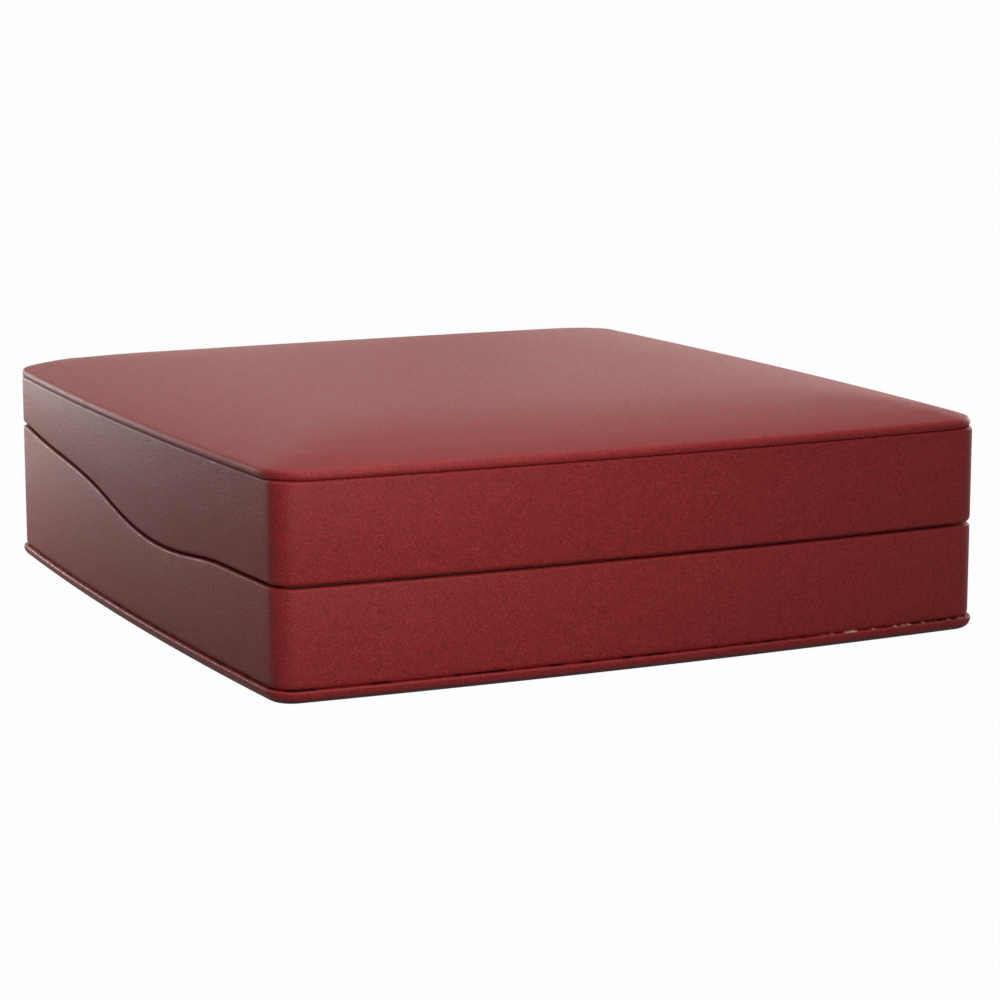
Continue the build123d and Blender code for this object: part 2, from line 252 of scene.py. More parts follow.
def relief(finish, shader, pattern, depth, strength=1.0):
    """Small bumps of that depth on the surface."""
    bump = finish.node_tree.nodes.new("ShaderNodeBump")
    bump.inputs["Distance"].default_value = depth
    bump.inputs["Strength"].default_value = strength
    finish.node_tree.links.new(pattern, bump.inputs["Height"])
    finish.node_tree.links.new(bump.outputs["Normal"], shader.inputs["Normal"])


def dress(finish, shader, tone, roughness):
    """Gives a finish its pattern of colour and its pattern of roughness."""
    finish.node_tree.links.new(tone, shader.inputs["Base Color"])
    finish.node_tree.links.new(roughness, shader.inputs["Roughness"])


moulded_plastic, plastic_shader, plastic_place = new_finish("moulded_plastic", 0.6)
plastic_grit = speckle(moulded_plastic, plastic_place, 3500)
plastic_cloud = speckle(moulded_plastic, plastic_place, 60)
plastic_tone = tones(
    moulded_plastic,
    sum_of(moulded_plastic, (plastic_grit, 0.6), (plastic_cloud, 0.4)),
    (0.3, (0.035, 0.035, 0.036)),
    (0.7, (0.065, 0.064, 0.063)),
)
plastic_roughness = levels(moulded_plastic, plastic_cloud, 0.55, 0.68)
dress(moulded_plastic, plastic_shader, plastic_tone, plastic_roughness)
relief(moulded_plastic, plastic_shader, plastic_grit, 0.03 * mm)


def paint(node, finish):
    """Gives a CAD node its finish."""
    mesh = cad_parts[node].data
    mesh.materials.clear()
    mesh.materials.append(finish)


paint("base_tray", moulded_plastic)

# Leather covering of the base
# Burgundy leatherette with a fine grain and a pearly sheen, glued round the tray's walls,
# turned in over the wavy rim and cut out round the hinges.
box_width = 175 * mm
box_depth = 185 * mm
side_bow = 2.5 * mm
corner_radius = 5.5 * mm
least_corner = 1 * mm
leather = 0.6 * mm
wall_inset = 2.6 * mm
inner_inset = 3.2 * mm
tray_bottom = 2.9 * mm
wall_top = 47.6 * mm
rim_gap = 0.34 * mm
turn_in = 4 * mm
front_parting = 24.9 * mm
back_parting = 34.6 * mm
wave_depths = np.array((-0.67, -0.36, 0.03, 0.18, 0.49, 0.77, 0.95)) * box_depth / 2
wave_heights = front_parting + np.array((0, -0.21, 0.05, 0.34, 0.69, 0.88, 1)) * (
    back_parting - front_parting
)


def wave_slopes():
    """The slope of the smooth parting line at each of its points, level at both ends."""
    runs = np.diff(wave_depths)
    rises = np.diff(wave_heights)
    count = len(wave_depths)
    ties = np.eye(count)
    pulls = np.zeros(count)
    for i in range(1, count - 1):
        ties[i, i - 1 : i + 2] = (1 / runs[i - 1], 2 / runs[i - 1] + 2 / runs[i], 1 / runs[i])
        pulls[i] = 3 * (rises[i - 1] / runs[i - 1] ** 2 + rises[i] / runs[i] ** 2)
    return np.linalg.solve(ties, pulls)


slopes = wave_slopes()


def parting(depth):
    """The height of the parting line at a depth."""
    depth = min(max(depth, wave_depths[0]), wave_depths[-1])
    i = min(int(np.searchsorted(wave_depths, depth, side="right")) - 1, len(wave_depths) - 2)
    run = wave_depths[i + 1] - wave_depths[i]
    t = (depth - wave_depths[i]) / run
    return (
        (2 * t**3 - 3 * t**2 + 1) * wave_heights[i]
        + (t**3 - 2 * t**2 + t) * run * slopes[i]
        + (3 * t**2 - 2 * t**3) * wave_heights[i + 1]
        + (t**3 - t**2) * run * slopes[i + 1]
    )


def line_round(bm, inset, level, corner=None, share=1.0, along_side=56, along_corner=8):
    """A closed line round the box, drawn in from the outer face: bowed sides, round corners."""
    if corner is None:
        corner = max(corner_radius - inset, least_corner)
    half_width = (box_width / 2 - inset) * share
    half_depth = (box_depth / 2 - inset) * share
    corner = corner * share
    bow = side_bow * share
    reach = (half_width - corner, half_depth - corner)
    swings = [(r * r + bow * bow) / (2 * bow) for r in reach]
    angles = [math.asin(r / s) for r, s in zip(reach, swings)]
    start = Vector((0, swings[0] - reach[1] - bow, level))
    first = start + Vector((math.sin(-angles[0]), -math.cos(angles[0]), 0)) * (swings[0] + corner)
    drawing = bmesh.new()
    bmesh.ops.create_vert(drawing, co=first)
    for side in range(4):
        own, other = side % 2, 1 - side % 2
        turned = Matrix.Rotation(side * math.pi / 2, 3, "Z")
        side_middle = turned @ Vector((0, swings[own] - reach[other] - bow, level))
        corner_middle = turned @ Vector((reach[own], -reach[other], level))
        arcs = (
            (side_middle, 2 * angles[own], along_side),
            (corner_middle, math.pi / 2 - angles[own] - angles[other], along_corner),
        )
        for middle, angle, steps in arcs:
            drawing.verts.ensure_lookup_table()
            bmesh.ops.spin(
                drawing,
                geom=[drawing.verts[-1]],
                cent=middle,
                axis=(0, 0, 1),
                angle=angle,
                steps=steps,
                use_merge=False,
            )
    drawing.verts.ensure_lookup_table()
    bmesh.ops.weld_verts(drawing, targetmap={drawing.verts[-1]: drawing.verts[0]})
    drawn = bpy.data.meshes.new("line")
    drawing.to_mesh(drawn)
    drawing.free()
    before = len(bm.verts)
    bm.from_mesh(drawn)
    bpy.data.meshes.remove(drawn)
    bm.verts.ensure_lookup_table()
    return bm.verts[before:]


def edges_along(chain):
    """The edges from each point of a chain to the next."""
    return [
        edge
        for point, after in zip(chain, chain[1:])
        for edge in point.link_edges
        if edge.other_vert(point) is after
    ]


def edges_of(line):
    """The edges along a closed line of points."""
    return edges_along(line + line[:1])


def paint_edge_highlight(bm, line, amount):
    """Marks how strong a painted highlight a line carries, from 0 to 1."""
    layer = bm.verts.layers.float.get("edge_highlight")
    for point in line:
        point[layer] = amount


def skin(bm, stations, closed=True):
    """A covering through one line round the box after another, each at its inset and level.

    A third number in a station is how strong a painted highlight its line carries. The lines are
    joined while they lie flat over each other, so that each point meets its own neighbour.
    """
    bm.verts.layers.float.new("edge_highlight")
    lines = [line_round(bm, station[0], step * mm) for step, station in enumerate(stations)]
    pairs = list(zip(lines, lines[1:]))
    if closed:
        pairs.append((lines[-1], lines[0]))
    for line, after in pairs:
        bmesh.ops.bridge_loops(bm, edges=edges_of(line) + edges_of(after))
    for line, (inset, level, *highlight_share) in zip(lines, stations):
        for point in line:
            point.co.z = level(point.co.y) if callable(level) else level
        paint_edge_highlight(bm, line, highlight_share[0] if highlight_share else 0)
    return lines


def make_piece(bm, name, finish, body, crease=40):
    """Turns a mesh into a named piece with its finish, which rides on its body."""
    bmesh.ops.recalc_face_normals(bm, faces=bm.faces)
    if all(edge.is_manifold for edge in bm.edges) and bm.calc_volume(signed=True) < 0:
        bmesh.ops.reverse_faces(bm, faces=bm.faces)
    mesh = bpy.data.meshes.new(name)
    bm.to_mesh(mesh)
    bm.free()
    mesh.polygons.foreach_set("use_smooth", [True] * len(mesh.polygons))
    mesh.set_sharp_from_angle(angle=math.radians(crease))
    mesh.materials.append(finish)
    piece = bpy.data.objects.new(name, mesh)
    bpy.context.scene.collection.objects.link(piece)
    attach(piece, body)
    return piece


def cut_away(piece, cutter_mesh):
    """Takes a block out of a piece for good."""
    cutter = bpy.data.objects.new("cutter", cutter_mesh)
    bpy.context.scene.collection.objects.link(cutter)
    cut = piece.modifiers.new("cut", "BOOLEAN")
    cut.operation = "DIFFERENCE"
    cut.solver = "EXACT"
    cut.object = cutter
    bpy.context.view_layer.update()
    shape = bpy.data.meshes.new_from_object(
        piece.evaluated_get(bpy.context.evaluated_depsgraph_get())
    )
    piece.modifiers.clear()
    shape.name = piece.name
    piece.data = shape
    bpy.data.objects.remove(cutter)


hinge_reach = 40 * mm
hinge_y = box_depth / 2 + side_bow
hinge_seat = 2.8 * mm
notch_width = 22.6 * mm


def hinge_room(bottom, top, near, far):
    """A block at each hinge, with its levels and depths counted from the pin."""
    bm = bmesh.new()
    for side in (-1, 1):
        block = bmesh.ops.create_cube(bm, size=1)["verts"]
        bmesh.ops.scale(bm, verts=block, vec=(notch_width, far - near, top - bottom))
        middle = (side * hinge_reach, hinge_y - (near + far) / 2, back_parting + (top + bottom) / 2)
        bmesh.ops.translate(bm, verts=block, vec=middle)
    mesh = bpy.data.meshes.new("hinge_room")
    bm.to_mesh(mesh)
    bm.free()
    return mesh


# The steps by which a turned edge of leather goes round its quarter turn
turn_steps = [math.radians(a) for a in (0, 22.5, 45, 67.5, 90)]


def rim_level(drop):
    """A level so far below the base's wavy rim."""
    return lambda depth: parting(depth) - rim_gap / 2 - drop


burgundy, burgundy_shader, burgundy_place = new_finish("burgundy_leatherette", 0.5, 0.25)
fine_grain = speckle(burgundy, burgundy_place, 3600, 2)
grain_cells = speckle(burgundy, burgundy_place, 1900, 1)
mottle = speckle(burgundy, burgundy_place, 500, 1)
streaks = speckle(burgundy, stretched(burgundy, burgundy_place, (1, 1, 5)), 380, 1)
# Painted highlight: the middle of each rolled edge's turn gets a lighter leather tone
edge_highlight = burgundy.node_tree.nodes.new("ShaderNodeAttribute")
edge_highlight.attribute_name = "edge_highlight"
grain = sum_of(
    burgundy, (fine_grain, 0.56), (grain_cells, 0.32), (mottle, 0.06), (streaks, 0.06)
)
leather_tone = tones(
    burgundy,
    sum_of(burgundy, (grain, 1), (edge_highlight.outputs["Fac"], 0.05)),
    (0.38, (0.135, 0.0068, 0.0078)),
    (0.47, (0.192, 0.0098, 0.0113)),
    (0.53, (0.232, 0.0128, 0.0146)),
    (0.62, (0.310, 0.0250, 0.0265)),
)


def between(finish, pattern, low, high, soft):
    """1 where a number lies between two levels, 0 outside, with a soft change."""
    rise = levels(finish, pattern, 0, 1, low - soft, low + soft)
    fall = levels(finish, pattern, 1, 0, high - soft, high + soft)
    both = finish.node_tree.nodes.new("ShaderNodeMath")
    both.operation = "MULTIPLY"
    finish.node_tree.links.new(rise, both.inputs[0])
    finish.node_tree.links.new(fall, both.inputs[1])
    return both.outputs[0]


def all_of(finish, *shares):
    """Shares multiplied together."""
    total = shares[0]
    for share in shares[1:]:
        step = finish.node_tree.nodes.new("ShaderNodeMath")
        step.operation = "MULTIPLY"
        finish.node_tree.links.new(total, step.inputs[0])
        finish.node_tree.links.new(share, step.inputs[1])
        total = step.outputs[0]
    return total


# Whitish dashes in the front seam over the covered board, mostly on the right: dried glue's own
# pale tone together with a painted glint
glue_place = burgundy.node_tree.nodes.new("ShaderNodeSeparateXYZ")
burgundy.node_tree.links.new(burgundy_place, glue_place.inputs[0])
glue_glint_drops = speckle(burgundy, stretched(burgundy, burgundy_place, (1, 0.1, 0.1)), 330, 4)
glue_glints = all_of(
    burgundy,
    between(burgundy, glue_place.outputs["X"], 47 * mm, 82 * mm, 4 * mm),
    between(burgundy, glue_place.outputs["Y"], -100 * mm, -88 * mm, 1 * mm),
    between(burgundy, glue_place.outputs["Z"], 2.88 * mm, 3.12 * mm, 0.04 * mm),
    levels(burgundy, glue_glint_drops, 0, 1, 0.49, 0.6),
)


def overlay_colour(finish, tone, share, overlay):
    """A colour with a share of another over it.

    A mix node keeps its share in socket 0 and its two colours in sockets 6 and 7.
    """
    mix = finish.node_tree.nodes.new("ShaderNodeMix")
    mix.data_type = "RGBA"
    mix.inputs[7].default_value = (*overlay, 1)
    finish.node_tree.links.new(share, mix.inputs[0])
    finish.node_tree.links.new(tone, mix.inputs[6])
    return mix.outputs[2]


# Painted shade: near-black dashes here and there in that seam, and a painted contact shadow
# darkening the foot towards its underside
seam_shade_spots = speckle(burgundy, stretched(burgundy, burgundy_place, (1, 1, 0.1)), 210, 1)
painted_seam_shade = all_of(
    burgundy,
    between(burgundy, glue_place.outputs["Z"], 2.86 * mm, 3.3 * mm, 0.06 * mm),
    levels(burgundy, seam_shade_spots, 0, 0.9, 0.5, 0.6),
)
# Painted contact shadow: the leather darkens to near black towards the very bottom of the foot
painted_contact_shadow = levels(burgundy, glue_place.outputs["Z"], 0.94, 0, 0.6 * mm, 1.4 * mm)
# The seam's dashes are painted shade
leather_tone = overlay_colour(burgundy, leather_tone, painted_seam_shade, (0.02, 0.003, 0.003))
leather_tone = overlay_colour(burgundy, leather_tone, painted_contact_shadow, (0.012, 0.004, 0.004))
# Painted glint: the glue dashes get a pale, nearly white colour
leather_tone = overlay_colour(burgundy, leather_tone, glue_glints, (0.9, 0.66, 0.6))
dress(burgundy, burgundy_shader, leather_tone, levels(burgundy, grain, 0.32, 0.72))
relief(burgundy, burgundy_shader, grain, 0.19 * mm)

bm = bmesh.new()
foot_rise = 1.5 * mm
lip_radius = 0.6 * mm
foot = [
    (leather * (1 - math.cos(t)), tray_bottom + foot_rise * (1 - math.sin(t))) for t in turn_steps
]
outer_lip = [
    (lip_radius * (1 - math.cos(t)), rim_level(lip_radius * (1 - math.sin(t)))) for t in turn_steps
]
inner_lip = [
    (inner_inset - leather * (1 - math.sin(t)), rim_level(leather * (1 - math.cos(t))))
    for t in turn_steps
]
skin(
    bm,
    foot[::-1]
    + outer_lip
    + inner_lip
    + [
        (inner_inset, rim_level(turn_in)),
        (wall_inset, rim_level(turn_in)),
        (wall_inset, rim_level(leather)),
        (leather, rim_level(leather)),
    ],
)
base_wrap = make_piece(bm, "base_leather", burgundy, "base")
notch_reach = 1.5 * mm
seat_reach = 7.9 * mm
beyond = 20 * mm
cut_away(base_wrap, hinge_room(-notch_reach, beyond, -beyond, inner_inset + side_bow))
cut_away(base_wrap, hinge_room(-seat_reach, beyond, hinge_seat, inner_inset + side_bow))
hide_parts("base_wrap")

# Covered board under the base
# Grey board in the same leatherette, which goes over its underside and rounded edge and is
# turned over its top. Its edge stands a little proud of the walls.
card, card_shader, card_place = new_finish("grey_board", 0.85, 0.2)
card_fibres = speckle(card, stretched(card, card_place, (1, 3, 3)), 600, 4)
card_flecks = speckle(card, card_place, 2200, 1)
card_tone = tones(
    card,
    sum_of(card, (card_fibres, 0.7), (card_flecks, 0.3)),
    (0.3, (0.34, 0.31, 0.27)),
    (0.55, (0.45, 0.42, 0.38)),
    (0.7, (0.52, 0.49, 0.45)),
)
dress(card, card_shader, card_tone, levels(card, card_flecks, 0.8, 0.92))
relief(card, card_shader, card_fibres, 0.05 * mm)
paint("bottom_board", card)

bottom_overhang = 0.8 * mm
bottom_upper = 0.45 * mm
bottom_lower = 2.45 * mm
bottom_under = 2.4 * mm
turn_over = 12 * mm
bottom_steps = [math.radians(a) for a in (0, 15, 30, 45, 60, 75, 90)]
bm = bmesh.new()
# The third numbers give the board's upper turn a painted highlight
lines = skin(
    bm,
    [(turn_over, tray_bottom)]
    + [
        (
            bottom_upper * (1 - math.sin(t)) - bottom_overhang,
            tray_bottom - bottom_upper * (1 - math.cos(t)),
            1.2 * math.sin(2 * t),
        )
        for t in bottom_steps
    ]
    + [
        (bottom_under * (1 - math.cos(t)) - bottom_overhang, bottom_lower * (1 - math.sin(t)))
        for t in bottom_steps[1:]
    ]
    + [(turn_over, 0)],
    closed=False,
)
bmesh.ops.edgeloop_fill(bm, edges=edges_of(lines[-1]))
bottom_cover = make_piece(bm, "bottom_leather", burgundy, "base")


def give_thickness(piece, thickness):
    """Makes a covering as thick as its cloth, inwards from its outer face."""
    wall = piece.modifiers.new("thickness", "SOLIDIFY")
    wall.thickness = thickness
    wall.offset = -1
    wall.use_even_offset = True


give_thickness(bottom_cover, leather)
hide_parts("bottom_cover")

# Floor lining and collar
# Grey board on the tray's floor, and a bent card collar whose inner face and rim are covered
# with ivory velvet. The collar rises past the rim and keeps the lid in line.
lining_top = 5.4 * mm
collar_outer = 3.5 * mm
collar_inner = 5.3 * mm
velvet_thickness = 0.4 * mm
collar_rise = 3 * mm
collar_turn_down = 6 * mm
collar_round = 0.6 * mm
paint("floor_lining", card)
paint("collar_card", card)

velvet, velvet_shader, velvet_place = new_finish("ivory_velvet", 0.95, 0.15)
velvet_shader.inputs["Sheen Weight"].default_value = 0.45
velvet_shader.inputs["Sheen Roughness"].default_value = 0.4
velvet_shader.inputs["Sheen Tint"].default_value = (1, 0.97, 0.9, 1)
velvet_pile = speckle(velvet, velvet_place, 4200, 2)
velvet_nap = speckle(velvet, stretched(velvet, velvet_place, (1, 0.5, 1)), 45, 2)
velvet_tone = tones(
    velvet,
    sum_of(velvet, (velvet_pile, 0.45), (velvet_nap, 0.55)),
    (0.32, (0.67, 0.58, 0.45)),
    (0.5, (0.74, 0.66, 0.52)),
    (0.68, (0.80, 0.73, 0.60)),
)
dress(velvet, velvet_shader, velvet_tone, levels(velvet, velvet_nap, 0.85, 1))
relief(velvet, velvet_shader, velvet_pile, 0.12 * mm)


def collar_level(rise):
    """A level so far above the parting line."""
    return lambda depth: parting(depth) + rise


bm = bmesh.new()
skin(
    bm,
    [(collar_inner, lining_top)]
    + [
        (
            collar_inner - collar_round * (1 - math.cos(t)),
            collar_level(collar_rise - collar_round * (1 - math.sin(t))),
        )
        for t in turn_steps
    ]
    + [
        (
            collar_outer + collar_round * (1 - math.sin(t)),
            collar_level(collar_rise - collar_round * (1 - math.cos(t))),
        )
        for t in turn_steps
    ]
    + [
        (collar_outer, collar_level(collar_rise - collar_turn_down)),
        (collar_outer + velvet_thickness, collar_level(collar_rise - collar_turn_down)),
        (collar_outer + velvet_thickness, collar_level(collar_rise - velvet_thickness)),
        (collar_inner - velvet_thickness, collar_level(collar_rise - velvet_thickness)),
        (collar_inner - velvet_thickness, lining_top),
    ],
)
collar_velvet = make_piece(bm, "collar_covering", velvet, "base")
cut_away(collar_velvet, hinge_room(-seat_reach, beyond, hinge_seat, collar_inner + side_bow))
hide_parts("collar_velvet")

# Foam blocks
# Four squares of cut foam, glued to the floor near the corners. They carry the necklace pad
# and are drawn in a little round their middle.
foam, foam_shader, foam_place = new_finish("open_foam", 0.95, 0.1)
foam_cells = foam.node_tree.nodes.new("ShaderNodeTexVoronoi")
foam_cells.inputs["Scale"].default_value = 1500
foam.node_tree.links.new(foam_place, foam_cells.inputs["Vector"])
foam_cloud = speckle(foam, foam_place, 90)
foam_tone = tones(
    foam,
    sum_of(foam, (foam_cells.outputs["Distance"], 0.5), (foam_cloud, 0.5)),
    (0.25, (0.80, 0.79, 0.74)),
    (0.75, (0.62, 0.61, 0.55)),
)
dress(foam, foam_shader, foam_tone, levels(foam, foam_cloud, 0.88, 1))
relief(foam, foam_shader, foam_cells.outputs["Distance"], 0.2 * mm)

block_width = 34 * mm
block_height = 7 * mm
block_margin = 14 * mm
block_waist = 0.03
block_edge = 0.5 * mm
block_place_x = box_width / 2 - block_margin - block_width / 2
block_place_y = box_depth / 2 - block_margin - block_width / 2
bm = bmesh.new()
for side in (-1, 1):
    for end in (-1, 1):
        block = bmesh.ops.create_cube(bm, size=1)["verts"]
        bmesh.ops.scale(bm, verts=block, vec=(block_width, block_width, block_height))
        middle = (side * block_place_x, end * block_place_y, lining_top + block_height / 2)
        bmesh.ops.translate(bm, verts=block, vec=middle)
bmesh.ops.bevel(
    bm,
    geom=bm.edges[:],
    offset=block_edge,
    affect="EDGES",
    segments=2,
    profile=0.5,
    material=-1,
)
bmesh.ops.subdivide_edges(bm, edges=bm.edges[:], cuts=5, use_grid_fill=True)
for point in bm.verts:
    across = (abs(point.co.x) - block_place_x) / (block_width / 2)
    along = (abs(point.co.y) - block_place_y) / (block_width / 2)
    up = (point.co.z - lining_top) / block_height
    waist = 1 - block_waist * math.sin(math.pi * up)
    point.co.x = math.copysign(block_place_x + across * waist * block_width / 2, point.co.x)
    point.co.y = math.copysign(block_place_y + along * waist * block_width / 2, point.co.y)
pad_blocks = make_piece(bm, "foam_blocks", foam, "base", 60)
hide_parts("pad_blocks")

# Necklace pad
# A board with thin foam, covered with ivory velvet that is turned under it. Two slits hold the
# chain, and a shallow groove at the front leaves room for the lifting ribbon.
pad_bottom = 12.5 * mm
pad_inset = 5.8 * mm
pad_corner = 3 * mm
pad_board = 1.5 * mm
pad_foam_edge = 2.4 * mm
pad_crown = 2.2 * mm
foam_clearance = 0.05 * mm
foam_drop = 0.1 * mm
slit_length = 20 * mm
slit_width = 1.6 * mm
slit_angle = 30
slit_reach_x = 44 * mm
slit_reach_y = 56 * mm
slit_height = 12 * mm
paint("pad_board", card)

# A crown's height falls off with this power of the way from its middle to its edge
crown_power = 6
crown_shares = (0.985, 0.97, 0.955, 0.94, 0.92)
most_edge_roll = 1.4 * mm
most_under_roll = 0.9 * mm

def padded_form(bm, seat, way, inset, corner, edge, crown, turned):
    """A padded panel from its seat up: its rolled edge, and a crown that flattens to the middle.

    With turned, its cloth starts under the board that far in. Without, the panel is closed there.
    """
    edge_roll = min(most_edge_roll, 0.6 * edge)
    under_roll = min(most_under_roll, 0.35 * edge)
    slope = math.atan(crown_power * crown / (box_width / 2))
    bm.verts.layers.float.new("edge_highlight")
    lines = []

    def lay(more_inset, height, share=1.0):
        lines.append(
            line_round(
                bm,
                inset + more_inset,
                seat + way * height,
                max(corner - more_inset, least_corner),
                share,
            )
        )

    lay(turned or turn_over, 0)
    for t in turn_steps:
        lay(under_roll * (1 - math.sin(t)), under_roll * (1 - math.cos(t)))
    for step in (0, 0.2, 0.4, 0.6, 0.8, 1):
        t = step * (math.pi / 2 - slope)
        lay(edge_roll * (1 - math.cos(t)), edge - edge_roll * (1 - math.sin(t)))
        # The middle of the roll carries a painted highlight
        paint_edge_highlight(bm, lines[-1], 0.8 * math.sin(2 * t))
    whole = lines[-1]
    edge_inset = edge_roll * (1 - math.sin(slope))
    edge_height = edge - edge_roll * (1 - math.cos(slope))
    for share in crown_shares:
        lay(edge_inset, edge_height + crown * (1 - share**crown_power), share)
    for line, after in zip(lines, lines[1:]):
        bmesh.ops.bridge_loops(bm, edges=edges_of(line) + edges_of(after))
    # The middle is a grid, whose corners lie half way round the line's own round corners
    last = lines[-1]
    half_corner = 4
    quarter = len(last) // 4
    ring = last[-half_corner:] + last[:-half_corner]
    front = ring[: quarter + 1]
    back = ring[2 * quarter : 3 * quarter + 1]
    known = set(bm.verts)
    bmesh.ops.grid_fill(bm, edges=edges_along(front) + edges_along(back), use_interp_simple=True)
    middle = [point for point in bm.verts if point not in known]
    turns = np.array([math.atan2(point.co.y, point.co.x) for point in whole])
    reaches = np.array([point.co.xy.length for point in whole])
    order = np.argsort(turns)
    for point in middle:
        reach = np.interp(
            math.atan2(point.co.y, point.co.x), turns[order], reaches[order], period=2 * math.pi
        )
        share = point.co.xy.length / reach
        point.co.z = seat + way * (edge_height + crown * (1 - share**crown_power))
    for _ in range(12):
        bmesh.ops.smooth_vert(bm, verts=middle, factor=0.5, use_axis_z=True)
    if not turned:
        bmesh.ops.edgeloop_fill(bm, edges=edges_of(lines[0]))
    bm.verts.index_update()
    held = {point.index for line in lines[: lines.index(whole) + 1] for point in line}
    return [point.index for point in bm.verts if point.index not in held]


def swell(piece, free, most, filling):
    """Lets a cover swell over its foam by a short cloth simulation with its edges held.

    The whole swelling is kept in proportion, at most that far, and the foam follows it.
    """
    held = piece.vertex_groups.new(name="held")
    held.add(sorted(set(range(len(piece.data.vertices))) - set(free)), 1, "REPLACE")
    cloth = piece.modifiers.new("cloth", "CLOTH")
    cloth.settings.vertex_group_mass = "held"
    cloth.settings.quality = 5
    cloth.settings.mass = 0.3
    cloth.settings.tension_stiffness = 25
    cloth.settings.compression_stiffness = 25
    cloth.settings.bending_stiffness = 2
    cloth.settings.use_pressure = True
    cloth.settings.uniform_pressure_force = 4
    cloth.settings.effector_weights.gravity = 0
    cloth.collision_settings.use_collision = False
    cloth.point_cache.frame_start = 1
    cloth.point_cache.frame_end = 20
    for step in range(1, 21):
        bpy.context.scene.frame_set(step)
    swollen = piece.evaluated_get(bpy.context.evaluated_depsgraph_get())
    ends = [point.co.copy() for point in swollen.data.vertices]
    moves = [end - point.co for end, point in zip(ends, piece.data.vertices)]
    piece.modifiers.clear()
    piece.vertex_groups.clear()
    share = min(1, most / max(move.length for move in moves))
    for mesh in (piece.data, filling.data):
        for point, move in zip(mesh.vertices, moves):
            point.co += move * share
    bpy.context.scene.frame_set(1)


pad_front = -(box_depth / 2 + side_bow - pad_inset)
groove_reach = 6.5 * mm
groove_depth = 0.35 * mm
groove_inwards = 1.5 * mm


def press_groove(bm):
    """Presses the pad's front in where the ribbon stands."""
    for point in bm.verts:
        if point.co.y < pad_front + groove_inwards and abs(point.co.x) < groove_reach:
            point.co.y += groove_depth


def chain_slits():
    """Two round-ended slots through the pad's velvet and foam, turned towards the middle."""
    bm = bmesh.new()
    for side in (-1, 1):
        start = bmesh.ops.create_vert(bm, co=(slit_length / 2 - slit_width / 2, -slit_width / 2, 0))
        slot = start["vert"]
        for end in (1, -1):
            middle = (end * (slit_length / 2 - slit_width / 2), 0, 0)
            round_end = bmesh.ops.spin(
                bm,
                geom=slot[-1:],
                cent=middle,
                axis=(0, 0, 1),
                angle=math.pi,
                steps=6,
                use_merge=False,
            )["geom_last"]
            slot.append([g for g in round_end if isinstance(g, bmesh.types.BMVert)][0])
            if end == 1:
                across = bmesh.ops.extrude_vert_indiv(bm, verts=slot[-1:])["verts"]
                bmesh.ops.translate(bm, verts=across, vec=(slit_width - slit_length, 0, 0))
                slot.append(across[0])
        bmesh.ops.contextual_create(bm, geom=slot[-1:] + slot[:1])
        outline = slot[0].link_edges[:]
        found = set(outline)
        while outline:
            edge = outline.pop()
            near = {e for point in edge.verts for e in point.link_edges} - found
            found |= near
            outline += near
        face = bmesh.ops.edgeloop_fill(bm, edges=list(found))["faces"]
        raised = bmesh.ops.extrude_face_region(bm, geom=face)["geom"]
        top = [g for g in raised if isinstance(g, bmesh.types.BMVert)]
        bmesh.ops.translate(bm, verts=top, vec=(0, 0, slit_height))
        points = {point for edge in found for point in edge.verts} | set(top)
        turned = Matrix.Rotation(math.radians(-side * slit_angle), 3, "Z")
        bmesh.ops.rotate(bm, verts=list(points), cent=(0, 0, 0), matrix=turned)
        move = (side * slit_reach_x, slit_reach_y, pad_bottom + velvet_thickness + pad_board)
        bmesh.ops.translate(bm, verts=list(points), vec=move)
    bmesh.ops.recalc_face_normals(bm, faces=bm.faces)
    mesh = bpy.data.meshes.new("chain_slits")
    bm.to_mesh(mesh)
    bm.free()
    return mesh


bm = bmesh.new()
padded_form(
    bm,
    pad_bottom + velvet_thickness + pad_board,
    1,
    pad_inset + velvet_thickness + foam_clearance,
    pad_corner - velvet_thickness,
    pad_foam_edge - foam_drop,
    pad_crown,
    None,
)
press_groove(bm)
pad_foam = make_piece(bm, "pad_foam_sheet", foam, "necklace_pad", 60)
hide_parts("pad_foam")

bm = bmesh.new()
free = padded_form(
    bm,
    pad_bottom,
    1,
    pad_inset,
    pad_corner,
    pad_board + pad_foam_edge + 2 * velvet_thickness,
    pad_crown,
    turn_over,
)
press_groove(bm)
pad_cover = make_piece(bm, "pad_velvet", velvet, "necklace_pad", 60)
swell(pad_cover, free, 0.5 * mm, pad_foam)
give_thickness(pad_cover, velvet_thickness)
cut_away(pad_cover, chain_slits())
cut_away(pad_foam, chain_slits())
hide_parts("pad_cover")

# Lifting ribbon
# A woven ribbon glued under the necklace pad. It comes up through the groove at the front and
# stands a few millimetres above the pad, to be gripped.
ribbon, ribbon_shader, ribbon_place = new_finish("woven_ribbon", 0.7, 0.3)
ribbon_ribs = ribbon.node_tree.nodes.new("ShaderNodeTexWave")
ribbon_ribs.bands_direction = "X"
ribbon_ribs.inputs["Scale"].default_value = 380
ribbon_ribs.inputs["Distortion"].default_value = 0.6
ribbon.node_tree.links.new(ribbon_place, ribbon_ribs.inputs["Vector"])
ribbon_cloud = speckle(ribbon, ribbon_place, 1800)
ribbon_tone = tones(
    ribbon,
    sum_of(ribbon, (ribbon_ribs.outputs["Fac"], 0.6), (ribbon_cloud, 0.4)),
    (0.2, (0.58, 0.48, 0.35)),
    (0.8, (0.80, 0.73, 0.60)),
)
dress(ribbon, ribbon_shader, ribbon_tone, levels(ribbon, ribbon_cloud, 0.6, 0.8))
relief(ribbon, ribbon_shader, ribbon_ribs.outputs["Fac"], 0.1 * mm)

